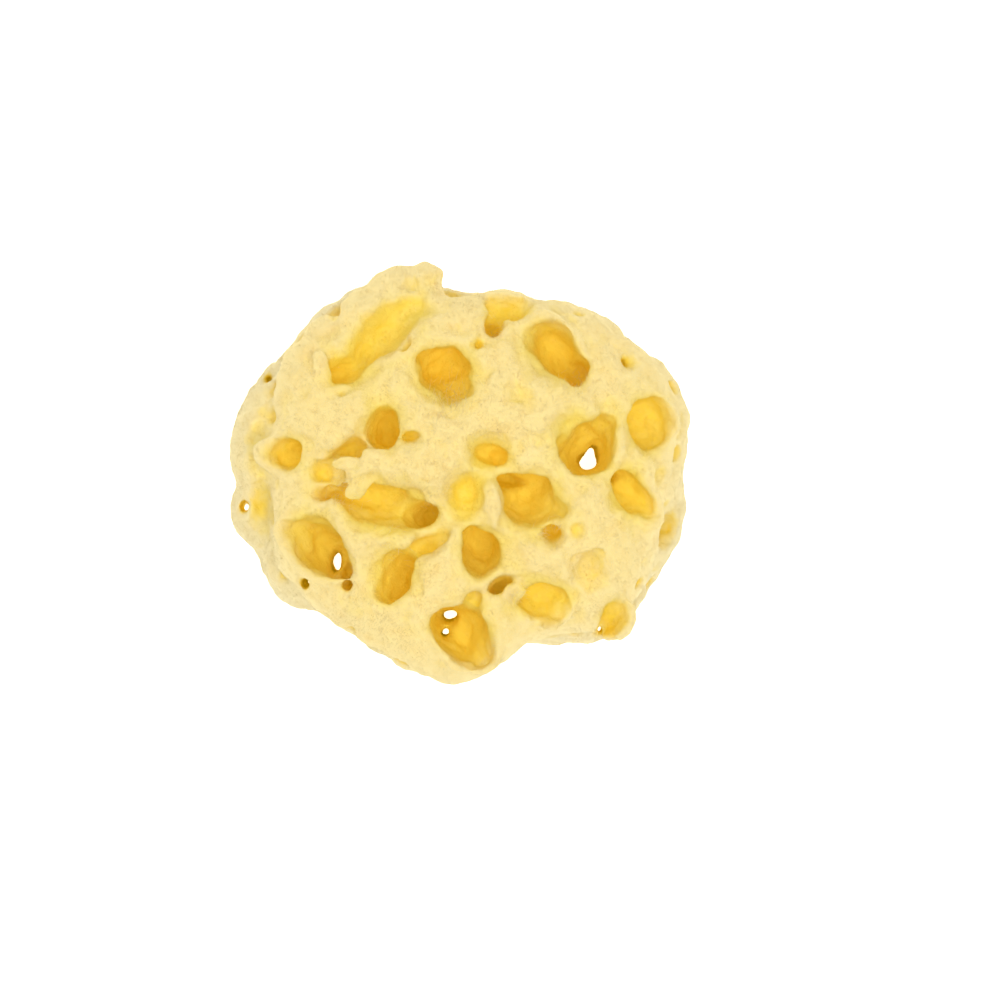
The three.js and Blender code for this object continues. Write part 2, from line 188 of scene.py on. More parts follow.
# hollows with no vent in them: place, half length, half width, turn, depth
DISHES = [
    (-13.4, 27.6, 11.0, 4.6, 42, 7.5),
    (-20.8, 20.0, 6.2, 4.6, 15, 3.8),
    (-13.4, -6.8, 9.4, 4.8, -8, 7.0),
    (1.6, -4.4, 5.4, 3.6, 68, 6.5),
    (15.8, -24.4, 6.2, 4.4, -14, 7.0),
    (37.6, 9.6, 6.0, 5.0, 80, 6.5),
    (34.2, -4.8, 7.2, 4.2, -50, 6.5),
    (-20.0, 4.4, 5.2, 3.2, 18, 1.4),
    (-34.4, 4.2, 5.2, 4.0, 20, 4.5),
    (5.8, 3.6, 4.6, 3.4, -18, 5.0),
    (3.6, -33.2, 5.4, 4.4, -40, 3.4),
    (-30.2, -11.6, 5.6, 4.8, -45, 4.2),
    (-12.6, -18.4, 6.2, 4.8, 66, 3.8),
    (17.0, 24.0, 7.0, 5.2, -52, 4.2),
    (22.4, 8.2, 6.0, 4.4, 20, 4.0),
    (16.4, -6.8, 5.6, 5.4, -25, 3.6),
    (-15.2, 14.6, 4.4, 3.0, 75, 2.6),
    (-38.6, 6.6, 4.0, 2.4, 0, 2.6),
    (-38.0, -5.6, 6.0, 2.4, 88, 3.2),
    (25.8, -19.0, 5.2, 4.0, -50, 1.5),
    (37.6, -19.8, 4.0, 2.2, 60, 2.4),
    (26.8, 26.4, 3.0, 2.0, -40, 1.6),
    (-25.1, 25.8, 4.6, 2.4, 50, 2.2),
    (-34.2, 12.8, 5.0, 3.2, 52, 2.8),
    (11.2, 15.8, 3.4, 3.6, 40, 2.0),
    (4.6, 31.6, 3.6, 3.0, 0, 1.2),
    (-30.0, 14.5, 3.6, 2.4, 20, 1.5),
    (-3.6, 4.4, 3.6, 2.0, 15, 1.4),
    (14.5, 6.5, 4.4, 2.6, 20, 1.4),
    (-18.2, -12.4, 3.6, 2.0, -30, 1.6),
    (11.4, 23.4, 3.0, 2.2, 60, 1.2),
    (21.5, -27.2, 3.4, 2.6, 10, 1.8),
    (-8.8, -31.0, 5.0, 2.4, -35, 2.0),
    (-20.6, -26.0, 5.0, 2.6, -30, 2.0),
    (31.6, 14.6, 2.6, 3.4, 20, 1.4),
    (-38.6, 14.8, 3.0, 2.0, 70, 1.6),
    (33.0, -14.0, 3.4, 4.6, -10, 0.6),
]
# straight shafts that let daylight through: place, half length, half width, turn
SHAFTS = [
    (25.3, 2.2, 2.3, 1.9, 20),
    (26.0, 4.0, 2.2, 1.1, 78),
    (-23.7, -17.3, 2.7, 1.2, 80),
    (-1.7, -27.7, 2.2, 1.3, 8),
    (-2.5, -31.0, 1.4, 1.1, 40),
    (27.5, -30.4, 1.4, 0.9, 70),
    (-37.2, 18.3, 1.3, 0.9, 100),
    (-41.6, -6.6, 1.4, 1.0, 70),
    (-29.4, -21.2, 1.4, 1.1, 100),
]
print(len(TOP_VENTS), "vents on top,", len(DISHES), "dishes,", len(SHAFTS), "shafts")

# %% [markdown]
# ## The body, step 2: a soft lump to carve
# The solid from CAD is made of flat facets, and its vents are plain fingers. It is left alone, and a copy
# of it is worked on. The copy is merged first, because the triangles of the solid are loose.

# %% The merged copy
bm = bmesh.new()
bm.from_mesh(bpy.data.objects["sponge"].data)
bmesh.ops.remove_doubles(bm, verts=bm.verts, dist=1e-6)
print("merged copy:", len(bm.verts), "corners", len(bm.faces), "faces")
skeleton = object_of(bm, "sponge_skeleton")

# %% [markdown]
# A vent is placed from above, so the height of its rim has to be read from the skin. One ray at its
# middle would fall down the vent. A ring of rays round it is sorted, and the height two thirds of the way
# up is taken.


# %% How high the skin is round a place
def top_tree(thing):
    return BVHTree.FromObject(thing, bpy.context.evaluated_depsgraph_get())


def lip_height(tree, x, y, reach):
    """The skin's usual height in a ring round a place, which ignores the hollows that the ring crosses."""
    heights = []
    for step in range(24):
        angle = step * tau / 24
        start = Vector((x + reach * cos(angle), y + reach * sin(angle), 0.2))
        hit = tree.ray_cast(start, Vector((0, 0, -1)))[0]
        if hit is not None:
            heights.append(hit.z)
    heights.sort()
    return heights[len(heights) * 2 // 3] if heights else 0.0


skin = top_tree(skeleton)
print("rim 5 mm round the middle, mm above the cut:", round(lip_height(skin, 0, 0, 5 * MM) * 1000, 1))

# %% [markdown]
# ### The finger
# Passages, plugs, pores and blades are all long rounded shapes with an uneven skin, so one shape serves
# for them. A cylinder would leave a sharp end, so it starts as an icosphere: the ball is stretched along
# its way in, the half that goes in tapers to a blunt tip, the half outside stays wide, and noise makes
# its walls uneven.

# %% A finger: a ball stretched along its way in, with an uneven rim
from itertools import count

finger_number = count(1)  # each finger takes its unevenness from a new place in the noise


def add_finger(bm, mouth, inward, length_way, half, outside, uneven=0.36, detail=3):
    """Adds one closed finger. inward runs from its mouth to its end; half is half its length and width."""
    shift = Vector((next(finger_number) * 7.31, 0.0, 0.0))
    w = inward.normalized()
    u = (length_way - w * length_way.dot(w)).normalized()
    v = w.cross(u)
    for corner in bmesh.ops.create_icosphere(bm, subdivisions=detail, radius=1)["verts"]:
        x, y, z = corner.co
        ring = max(hypot(x, y), 1e-6)
        depth = min(abs(z), 1)
        taper = (1 - depth**2.2) ** 0.5 if z > 0 else (1 - depth**3) ** 0.33
        wave = noise.noise_vector(Vector((x, y, z)) * 1.1 + shift) * uneven
        wave += noise.noise_vector(Vector((x, y, z)) * 2.6 - shift) * uneven * 0.55
        a = (x / ring * taper + wave.x) * half[0]
        b = (y / ring * taper + wave.y) * half[1]
        reach = inward.length if z > 0 else outside
        corner.co = mouth + u * a + v * b + w * (z + wave.z * 0.3) * reach


def way(degrees):
    return Vector((cos(radians(degrees)), sin(radians(degrees)), 0))


print("a finger of detail 3 has", 20 * 4 ** (3 - 1), "faces")

# %% [markdown]
# ### Plugs
# The plain vents of the copy are stopped with upright plugs, so that leaning vents can be carved in their
# place. Joining solids with Boolean would keep every facet. The voxel Remesh modifier rebuilds copy and
# plugs as one fine even skin instead, and the Smooth modifier melts it into a lump.

# %% The plugged lump
RIM_RING = 0.72  # the ring that a rim is read on, as a share of half the length and half the width together
PLUG_TOP = 1.2 * MM  # how far below the rim a plug ends
PLUG_FOOT = 1.5 * MM  # how far above the cut it starts
PLUG_UNEVEN = 0.05


def finished(thing, kind, **settings):
    """Adds one modifier with its settings and bakes it into the mesh."""
    modifier = thing.modifiers.new(kind, kind)
    for key, value in settings.items():
        setattr(modifier, key, value)
    shown = thing.evaluated_get(bpy.context.evaluated_depsgraph_get())
    mesh = bpy.data.meshes.new_from_object(shown)
    thing.modifiers.clear()
    old, thing.data = thing.data, mesh
    bpy.data.meshes.remove(old)


def add_plug(bm, x, y, long, wide, turn, grown):
    """Adds a plug a little wider than an old vent, which fills it from its foot to just under its rim."""
    top = lip_height(skin, x * MM, y * MM, (long + wide) * RIM_RING * MM) - PLUG_TOP
    half = (long * grown[0] * MM, wide * grown[1] * MM)
    mouth = Vector((x * MM, y * MM, top))
    add_finger(bm, mouth, Vector((0, 0, PLUG_FOOT - top)), way(turn), half, 0.8 * MM, PLUG_UNEVEN)


plugs = bmesh.new()
plugs.from_mesh(skeleton.data)
for x, y, long, wide, turn, *others in TOP_VENTS:
    if wide > 2:
        add_plug(plugs, x, y, long, wide, turn, (1.35, 1.4))
for x, y, long, wide, turn, deep in DISHES:
    if deep >= 4:
        add_plug(plugs, x, y, long, wide, turn, (1, 1))
for x, y, long, wide, turn in SHAFTS[:4]:  # the wide ones, which need whole walls round them
    half = (long * 2 * MM, wide * 2 * MM)
    mouth = Vector((x * MM, y * MM, 26 * MM))
    add_finger(plugs, mouth, Vector((0, 0, -24.5 * MM)), way(turn), half, 3 * MM, PLUG_UNEVEN)
plugs.to_mesh(skeleton.data)
plugs.free()
finished(skeleton, "REMESH", mode="VOXEL", voxel_size=0.8 * MM)
finished(skeleton, "SMOOTH", factor=0.5, iterations=6)
print("soft lump:", len(skeleton.data.polygons), "faces")

# %% [markdown]
# ## The body, step 3: swellings
# The skin is never even. The Displace modifier could do this, but numpy lets the push fade on the flanks
# and stop at the cut. Noise of two sizes gives the lump its wide, soft swellings before anything is
# carved, so that the rims of the vents rise and fall with them.

# %% Reading and writing vertices in one go
import numpy as np


def corners_of(mesh):
    found = np.empty(len(mesh.vertices) * 3, np.float32)
    mesh.vertices.foreach_get("co", found)
    return found.reshape(-1, 3)


def normals_of(mesh):
    found = np.empty(len(mesh.vertices) * 3, np.float32)
    mesh.vertex_normals.foreach_get("vector", found)
    return found.reshape(-1, 3)


def pushed(thing, sizes_and_heights):
    """Pushes the skin in and out by noise of several sizes: most on top, less on the flanks."""
    places = corners_of(thing.data)
    facing = normals_of(thing.data)
    push = np.zeros(len(places), np.float32)
    for k, (size, height) in enumerate(sizes_and_heights):
        shift = Vector((31 * k, 57 * k, 0))
        swell = [noise.noise(Vector(p) / (size * MM) + shift) for p in places]
        push += height * MM * np.array(swell, np.float32)
    push *= np.clip(places[:, 2] / (1.5 * MM), 0, 1) * (0.5 + 0.5 * np.clip(facing[:, 2], 0, 1))
    places += facing * push[:, None]
    places[:, 2] = np.maximum(places[:, 2], 0)
    thing.data.vertices.foreach_set("co", places.ravel())
    thing.data.update()
    print("pushed by up to", round(float(np.abs(push).max()) * 1000, 2), "mm")


pushed(skeleton, [(8, 1.3), (4.5, 1.1)])  # size and height of each swelling, in mm

# %% [markdown]
# ### Dishes
# Round each mouth the skin sinks in, and the ridges between the mouths are the most striking thing about
# the object. A soft bell curve per dish is subtracted from the height. Plain addition would dig too deep
# where dishes overlap, so they are combined as cubes, and the deepest one counts most.


# %% Dishes round the mouths
def dished(thing, hollows):
    """Lowers the upper skin into soft dishes. Where two meet, the deeper one counts most."""
    places = corners_of(thing.data)
    sink = np.zeros(len(places), np.float32)
    for x, y, long, wide, turn, deep in hollows:
        away = places[:, :2] / MM - (x, y)
        along = away[:, 0] * cos(radians(turn)) + away[:, 1] * sin(radians(turn))
        across = away[:, 1] * cos(radians(turn)) - away[:, 0] * sin(radians(turn))
        sink += (deep * np.exp(-((along / long) ** 2 + (across / wide) ** 2))) ** 3
    sink = sink ** (1 / 3) * np.clip((places[:, 2] / MM - 8) / 14, 0, 1)
    places[:, 2] -= sink * MM
    thing.data.vertices.foreach_set("co", places.ravel())
    thing.data.update()
    print("dishes sunk by up to", round(float(sink.max()), 2), "mm")


def mouth_dish(x, y, long, wide, turn, deep, lean_x, lean_y, dish):
    """The dish round one vent's mouth, a little uphill of its lean. A wide vent has a deeper one."""
    middle = (x - 0.25 * lean_x, y - 0.25 * lean_y)
    return (*middle, long * dish + 0.8, wide * dish + 0.8, turn, min(1.4 + 0.85 * wide, 5.0))


lump_skin = top_tree(skeleton)  # the uncarved lump, for measuring depths later
dished(skeleton, [mouth_dish(*vent) for vent in TOP_VENTS] + DISHES)

# %% [markdown]
# ## The body, step 4: carving
# The vents could be sculpted by hand, but it is surer to carve them, because each then keeps its place
# and lean. A finger is laid at each mouth, and in the end all of them are cut from the body with one
# Boolean modifier. The straight shafts through to the cut are long fingers of the same kind.

# %% Fingers for the top
skin = top_tree(skeleton)
carver = bmesh.new()
for x, y, long, wide, turn, deep, lean_x, lean_y, dish in TOP_VENTS:
    lip = lip_height(skin, x * MM, y * MM, (long + wide) * 0.3 * MM)
    mouth = Vector((x * MM, y * MM, lip))
    inward = Vector((lean_x, lean_y, -deep)) * MM
    add_finger(carver, mouth, inward, way(turn), (long * MM, wide * MM), (long + 2.5) * MM)
for x, y, long, wide, turn in SHAFTS:
    mouth = Vector((x * MM, y * MM, 30 * MM))
    add_finger(carver, mouth, Vector((0, 0, -60 * MM)), way(turn), (long * MM, wide * MM), 14 * MM, 0.08, 2)
print("fingers:", len(TOP_VENTS) + len(SHAFTS), "with", len(carver.faces), "faces")

# %% [markdown]
# ### Small pores
# Small pores are scattered over the flanks and the cut, and finer pits over the top. Picking mesh
# vertices at random would crowd them where the mesh is dense, so rays are shot in at random, with a fixed
# seed, and each pore is kept a little way off the others.

# %% Small pores of the flanks and the cut
import random

MOST_PORES = 320
chance = random.Random(7)
skin = top_tree(skeleton)
pores = []
for attempt in range(6000):
    aim = Vector((chance.uniform(-42, 42), chance.uniform(-38, 38), chance.uniform(-4, 42))) * MM
    outward = Vector((chance.gauss(0, 1), chance.gauss(0, 1), chance.gauss(0, 1))).normalized()
    size, narrow, long_way = chance.uniform(0.6, 1.7), chance.uniform(0.6, 1), chance.uniform(1.6, 3.2)
    sideways = Vector((chance.uniform(-1, 1), chance.uniform(-1, 1), chance.uniform(-1, 1)))
    place, normal = skin.ray_cast(aim + outward * 0.3, -outward)[:2]
    if place is None:
        continue
    under = place.z < 0.5 * MM and normal.z < -0.9
    flank = place.z > 3 * MM and normal.z < 0.55
    ridge = normal.z > 0.55 and place.z > 30 * MM
    size = size * 0.4 if ridge else size * 1.25 if under else size
    clear = all((place - other).length > (size + far + 1.6) * MM for other, far in pores)
    if (under or flank or ridge) and clear:
        pores.append((place, size))
        inward = (-normal + sideways * 0.4).normalized() * (size * long_way * MM)
        add_finger(carver, place, inward, sideways, (size * MM, size * narrow * MM), 1.5 * MM, 0.25, 2)
    if len(pores) == MOST_PORES:
        break
print("small pores:", len(pores))

# %% [markdown]
# ### The cut
# The exact Boolean solver copes with fingers that overlap each other. Its edges are knife sharp, which no
# sponge has, so a remesh and a few rounds of smoothing follow.


# %% Cutting
def cut(thing, carver, name):
    """Cuts a bmesh of closed shapes, which may overlap, out of a thing."""
    tool = object_of(carver, name)
    finished(thing, "BOOLEAN", object=tool, operation="DIFFERENCE", solver="EXACT", use_self=True)
    mesh = tool.data
    bpy.data.objects.remove(tool)
    bpy.data.meshes.remove(mesh)
    print("after", name, len(thing.data.polygons), "faces")


cut(skeleton, carver, "carver")
finished(skeleton, "REMESH", mode="VOXEL", voxel_size=0.6 * MM)
finished(skeleton, "SMOOTH", factor=0.5, iterations=8)
print("first melt:", len(skeleton.data.polygons), "faces")

# %% [markdown]
# ## The body, step 5: blades, posts and crumbs
# Here and there the skeleton left a thin blade over a vent, a post between two of them, or a crumb that
# hangs on by its fibres. They are flat or long balls laid on the carved body, and the next remesh grows
# them into it.

# %% Bits that stand out
# Each row, in mm: both ends from above, half width, half thickness, and how far below the skin it lies.
BLADES = [
    (-15.4, 1.2, -24.4, 1.9, 1.7, 0.7, 0.5),
    (-15.4, 0.6, -21.6, -4.8, 1.9, 0.7, 0.6),
    (-18.5, 3.2, -12.0, 3.0, 1.7, 0.9, 0.4),
    (6.4, -0.8, 7.2, -10.4, 1.7, 1.9, 0.3),
    (-26.9, 23.6, -25.0, 15.6, 1.7, 1.4, 0.6),
    (8.8, -22.4, 13.4, -22.8, 1.3, 1.2, 0.5),
    (11.2, -20.8, 11.4, -24.8, 1.2, 1.2, 0.4),
    (-6.6, -4.4, -2.8, -5.6, 1.0, 0.7, 0.3),
]
bm = bmesh.new()
bm.from_mesh(skeleton.data)
for x0, y0, x1, y1, wide, thick, below in BLADES:
    middle = Vector(((x0 + x1) / 2, (y0 + y1) / 2, 0)) * MM
    run = Vector((x1 - x0, y1 - y0, 0)) * (0.5 * MM)
    middle.z = lip_height(skin, middle.x, middle.y, 2.5 * MM) - below * MM
    add_finger(bm, middle, run, Vector((-run.y, run.x, 0)), (wide * MM, thick * MM), run.length, 0.22)
bm.to_mesh(skeleton.data)
bm.free()
print(len(BLADES), "bits laid on")

# %% [markdown]
# ## The body, step 6: a second melt and the fine relief
# A finer remesh grows the bits into the body and gives every rim the soft lip of grown material. Carving
# can also leave a crumb that touches nothing. Deleting small faces by hand would miss some, so the mesh
# is walked from corner to corner, island by island, and only the largest island is kept. Small noise then
# roughens the skin again.

# %% Loose bits
def without_loose_bits(thing):
    """Keeps the largest island of a mesh and drops the crumbs that the cutting left hanging in the air."""
    bm = bmesh.new()
    bm.from_mesh(thing.data)
    left = set(bm.verts)
    islands = []
    while left:
        front = [left.pop()]
        island = []
        while front:
            corner = front.pop()
            island.append(corner)
            for edge in corner.link_edges:
                other = edge.other_vert(corner)
                if other in left:
                    left.discard(other)
                    front.append(other)
        islands.append(island)
    islands.sort(key=len)
    bmesh.ops.delete(bm, geom=[corner for island in islands[:-1] for corner in island], context="VERTS")
    bm.to_mesh(thing.data)
    bm.free()
    print("loose bits dropped:", len(islands) - 1)


# %% Fine skin
finished(skeleton, "REMESH", mode="VOXEL", voxel_size=0.5 * MM)
finished(skeleton, "SMOOTH", factor=0.5, iterations=2)
without_loose_bits(skeleton)
print("fine skin:", len(skeleton.data.polygons), "faces")
pushed(skeleton, [(4, 0.6), (2.2, 0.5), (1.1, 0.2), (0.6, 0.08)])

# %% [markdown]
# The fine skin has far more faces than it needs. The Decimate modifier merges the flattest ones first, so
# the rims keep their shape.

# %% Fewer triangles
MOST_TRIANGLES = 192000


def triangles_in(mesh):
    return sum(len(face.vertices) - 2 for face in mesh.polygons)


triangles = triangles_in(skeleton.data)
if triangles > MOST_TRIANGLES:
    finished(skeleton, "DECIMATE", ratio=MOST_TRIANGLES / triangles)
for face in skeleton.data.polygons:
    face.use_smooth = True
print("skeleton:", len(skeleton.data.vertices), "corners,", triangles_in(skeleton.data), "triangles")

# %% [markdown]
# ## How hidden each place is
# Light that reaches the bottom of a vent has bounced off yellow walls, so it turns gold, and the colours
# paint this in as a gold shade. A value from 0, open, to 1, hidden, is kept on each vertex for that painted
# shade. The Ambient Occlusion node could find it while rendering, but a kept value goes wherever the mesh
# goes. It is measured with a few
# rays from the vertex: the sooner they hit the sponge itself, the more hidden it is. It also grows with
# the depth below the skin of the uncarved lump, so that the slopes that lead into the vents take on the
# painted gold shade bit by bit.

# %% Measuring
RAY_REACH = 14 * MM
DEPTH_WEIGHT = 0.55  # how much depth alone can hide a place
SHALLOW, DEEPENING = 0.3, 3.5  # mm: where depth starts to count, and how much further it counts fully


def hemisphere(rays):
    """Directions spread evenly over half a ball, most of them near its pole."""
    golden = pi * (3 - 5**0.5)
    for k in range(rays):
        out = ((k + 0.5) / rays) ** 0.5
        yield Vector((out * cos(k * golden), out * sin(k * golden), (1 - out * out) ** 0.5))


def hidden_at(tree, places, facing, rays):
    found = np.zeros(len(places), np.float32)
    spread = list(hemisphere(rays))
    for k, (place, normal) in enumerate(zip(places, facing)):
        n = Vector(normal)
        turn = Vector((0, 0, 1)).rotation_difference(n)
        start = Vector(place) + n * (0.25 * MM)
        blocked = 0.0
        for ray in spread:
            distance = tree.ray_cast(start, turn @ ray, RAY_REACH)[3]
            if distance is not None:
                blocked += 1 - distance / RAY_REACH * 0.6
        found[k] = blocked / rays
    return found


tree = top_tree(skeleton)
places = corners_of(skeleton.data)
facing = normals_of(skeleton.data)
hidden = hidden_at(tree, places, facing, 10)
depths = np.array([lump_skin.find_nearest(Vector(place))[3] for place in places]) / MM
hidden = 1 - (1 - hidden) * (1 - DEPTH_WEIGHT * np.clip((depths - SHALLOW) / DEEPENING, 0, 1))
kept = skeleton.data.attributes.new("hidden", "FLOAT", "POINT")
kept.data.foreach_set("value", hidden)
print("hidden: mean", round(float(hidden.mean()), 2), "most", round(float(hidden.max()), 2))

# %% [markdown]
# ## Colour
# Bleached skeleton is a warm cream with soft golden patches, and it has no gloss at all. Inside the vents it
# is painted gold, a painted shade for light that has bounced off the yellow walls, and low on the skirt it
# is painted a greyer, paler cream, a painted shade for the flanks that turn from the light. Colours could be
# painted on the mesh, but worked out from the kept value, from height and from noise they follow the shape
# when it changes.

# %% Helpers for node trees
def new_material(name):
    material = bpy.data.materials.new(name)
    material.use_nodes = True
    return material, material.node_tree, material.node_tree.nodes["Principled BSDF"]


def node(tree, kind, **inputs):
    made = tree.nodes.new(kind)
    for name, value in inputs.items():
        socket = made.inputs[name.replace("_", " ")]
        if isinstance(value, bpy.types.NodeSocket):
            tree.links.new(value, socket)
        else:
            socket.default_value = value
    return made


def blend_colours(tree, share, first, second):
    mix = tree.nodes.new("ShaderNodeMix")
    mix.data_type = "RGBA"
    tree.links.new(share, mix.inputs[0])
    for socket, value in ((mix.inputs[6], first), (mix.inputs[7], second)):
        if isinstance(value, bpy.types.NodeSocket):
            tree.links.new(value, socket)
        else:
            socket.default_value = (*value, 1)
    return mix.outputs[2]


def stretched(tree, value, low, high, to_low=0.0, to_high=1.0):
    ranged = tree.nodes.new("ShaderNodeMapRange")
    tree.links.new(value, ranged.inputs["Value"])
    ranged.inputs["From Min"].default_value = low
    ranged.inputs["From Max"].default_value = high
    ranged.inputs["To Min"].default_value = to_low
    ranged.inputs["To Max"].default_value = to_high
    return ranged.outputs["Result"]


print("node helpers ready")

# %% [markdown]
# ### Felt
# Between the hairs that can be seen there is a felt of fibres that can't. Real hairs that fine would be
# far too many, so it is a bump from two sizes of noise. A node group keeps it in one place, with its
# fineness and height as inputs.

# %% The felt group
felt = bpy.data.node_groups.new("felt", "ShaderNodeTree")
felt.interface.new_socket("Fineness", in_out="INPUT", socket_type="NodeSocketFloat")
felt.interface.new_socket("Height", in_out="INPUT", socket_type="NodeSocketFloat")
felt.interface.new_socket("Normal", in_out="OUTPUT", socket_type="NodeSocketVector")
felt_in = felt.nodes.new("NodeGroupInput")
felt_out = felt.nodes.new("NodeGroupOutput")
where = node(felt, "ShaderNodeTexCoord").outputs["Object"]
fineness = felt_in.outputs["Fineness"]
coarse = node(felt, "ShaderNodeTexNoise", Vector=where, Scale=420.0, Detail=4.0, Roughness=0.65)
fine = node(felt, "ShaderNodeTexNoise", Vector=where, Scale=fineness, Detail=6.0, Roughness=0.7)
both = node(felt, "ShaderNodeMath")
both.operation = "ADD"
felt.links.new(coarse.outputs["Fac"], both.inputs[0])
felt.links.new(fine.outputs["Fac"], both.inputs[1])
bump = node(felt, "ShaderNodeBump", Height=both.outputs[0], Strength=felt_in.outputs["Height"])
bump.inputs["Distance"].default_value = 0.0004
felt.links.new(bump.outputs["Normal"], felt_out.inputs["Normal"])
print("felt group:", len(felt.nodes), "nodes")

# %% [markdown]
# ### From ridge to vent
# A painted gold shade comes in as a place is more hidden, for light that has bounced off yellow walls, and
# deep down a faint painted glow stands for the light that soaks through the walls. Subsurface scattering
# would be the true way, but it is slow and noisy on a body this full of holes. The skin and the down share
# these colours, so that the down never looks like dust on the vents.

# %% The colours by how hidden and how low a place is
BLEACHED_CREAM = (0.985, 0.79, 0.33)
# painted shade: the gold that light takes on after bouncing off the yellow walls deep in the vents
VENT_SHADE_GOLD = (0.96, 0.75, 0.10)
# painted shade: a greyer, paler cream low on the skirt, where the flanks turn from the light
SKIRT_SHADE_GREY = (0.87, 0.76, 0.45)
VENT_GLOW = (0.04, 0.045, 0.0)
# the down's own whiter tone, and partly painted light that makes up for the shade on its thin upright cones
DOWN_PALE_AND_LIT = (1.0, 0.86, 0.46)
PATCH_GOLD = (0.97, 0.70, 0.20)


def bleached_colour(tree, ridge_colour):
    """The colour, with painted shade by how hidden and how low a place is, and a painted glow of light
    through the walls.
    """
    hidden_value = node(tree, "ShaderNodeAttribute")
    hidden_value.attribute_name = "hidden"
    # how much painted gold shade a place gets, by how hidden it is
    vent_shade = stretched(tree, hidden_value.outputs["Fac"], 0.10, 0.80)
    where = node(tree, "ShaderNodeTexCoord").outputs["Object"]
    patches = node(tree, "ShaderNodeTexNoise", Vector=where, Scale=170.0, Detail=4.0, Roughness=0.65)
    patchy = stretched(tree, patches.outputs["Fac"], 0.52, 0.74, 0.0, 0.4)
    ridge_colour = blend_colours(tree, patchy, ridge_colour, PATCH_GOLD)
    colour = blend_colours(tree, vent_shade, ridge_colour, VENT_SHADE_GOLD)
    height = node(tree, "ShaderNodeSeparateXYZ", Vector=where)
    # painted shade: greyer low on the skirt, less of it higher up
    low_skirt_shade = stretched(tree, height.outputs["Z"], 37 * MM, 18 * MM, 0.0, 0.8)
    grey = blend_colours(tree, vent_shade, SKIRT_SHADE_GREY, VENT_SHADE_GOLD)
    deep_in = stretched(tree, hidden_value.outputs["Fac"], 0.75, 1.0)
    return blend_colours(tree, low_skirt_shade, colour, grey), blend_colours(tree, deep_in, (0, 0, 0), VENT_GLOW)


def bleached_material(name, ridge_colour, roughness, shine):
    """A matt material in the sponge's colours and painted shade, and its node tree and shader for anything
    that is added.
    """
    material, tree, shader = new_material(name)
    material.cycles.emission_sampling = "NONE"  # the glow is too faint to light anything else
    colour, glow = bleached_colour(tree, ridge_colour)
    tree.links.new(colour, shader.inputs["Base Color"])
    tree.links.new(glow, shader.inputs["Emission Color"])
    shader.inputs["Emission Strength"].default_value = 1.0
    shader.inputs["Roughness"].default_value = roughness
    shader.inputs["Specular IOR Level"].default_value = shine
    return material, tree, shader


print("cream, gold and grey:", BLEACHED_CREAM, VENT_SHADE_GOLD, SKIRT_SHADE_GREY)

# %% The materials of the skeleton and of the down
bleached, tree_of, shader = bleached_material("bleached_skeleton", BLEACHED_CREAM, 0.95, 0.15)
felted = tree_of.nodes.new("ShaderNodeGroup")
felted.node_tree = felt
felted.inputs["Fineness"].default_value = 2600
felted.inputs["Height"].default_value = 0.5
tree_of.links.new(felted.outputs["Normal"], shader.inputs["Normal"])
skeleton.data.materials.clear()
skeleton.data.materials.append(bleached)
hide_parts("sponge")
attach(skeleton, "root")

down_shade = bleached_material("bleached_down", DOWN_PALE_AND_LIT, 1.0, 0.1)[0]
print("materials:", [m.name for m in bpy.data.materials])

# %% [markdown]
# ## Down
# Broken fibre ends stand all over the skin like short down. A particle system would be the usual way, but
# real meshes last longer, so one thin cone is made with the cone operator and its corners are laid down
# again and again with numpy. Each fibre has four faces. The fibres lie in whorls: their lean follows a
# wide, slow noise.


# %% One fibre, laid down many times
def one_fibre():
    bm = bmesh.new()
    bmesh.ops.create_cone(bm, cap_ends=True, segments=3, radius1=1, radius2=0, depth=1)
    bmesh.ops.translate(bm, verts=bm.verts, vec=(0, 0, 0.5))
    bmesh.ops.triangulate(bm, faces=bm.faces)
    bm.verts.ensure_lookup_table()
    points = np.array([corner.co for corner in bm.verts])
    faces = np.array([[corner.index for corner in face.verts] for face in bm.faces])
    bm.free()
    return points, faces


def laid_down(name, roots, ways, lengths, widths, hiding):
    """One mesh of fibres: where each is rooted and points, its length and width, and how hidden it is."""
    points, faces = one_fibre()
    ways = ways / np.linalg.norm(ways, axis=1)[:, None]
    across = np.cross(ways, np.random.default_rng(3).normal(size=ways.shape))
    across /= np.linalg.norm(across, axis=1)[:, None]
    beside = np.cross(ways, across)
    spots = (
        roots[:, None]
        + across[:, None] * (points[None, :, 0, None] * widths[:, None, None])
        + beside[:, None] * (points[None, :, 1, None] * widths[:, None, None])
        + ways[:, None] * (points[None, :, 2, None] * lengths[:, None, None])
    )
    corners = faces[None] + (np.arange(len(roots)) * len(points))[:, None, None]
    mesh = bpy.data.meshes.new(name)
    mesh.vertices.add(spots.shape[0] * spots.shape[1])
    mesh.vertices.foreach_set("co", spots.astype(np.float32).ravel())
    mesh.loops.add(corners.size)
    mesh.loops.foreach_set("vertex_index", corners.astype(np.int32).ravel())
    mesh.polygons.add(corners.size // 3)
    mesh.polygons.foreach_set("loop_start", np.arange(0, corners.size, 3, dtype=np.int32))
    mesh.update(calc_edges=True)
    kept = mesh.attributes.new("hidden", "FLOAT", "POINT")
    kept.data.foreach_set("value", np.repeat(hiding, len(points)).astype(np.float32))
    thing = bpy.data.objects.new(name, mesh)
    bpy.context.scene.collection.objects.link(thing)
    thing.data.materials.append(down_shade)
    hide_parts("sponge")
    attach(thing, "root")
    print(name, len(roots), "fibres,", len(mesh.polygons), "faces")


print("one fibre has", len(one_fibre()[1]), "faces")

# %% [markdown]
# ### Where the down grows
# The roots are spread over the skin by area, more of them on open ridges than deep in the vents, and most
# of them on top. The fibres are shorter on the flanks, where handling wears them off.

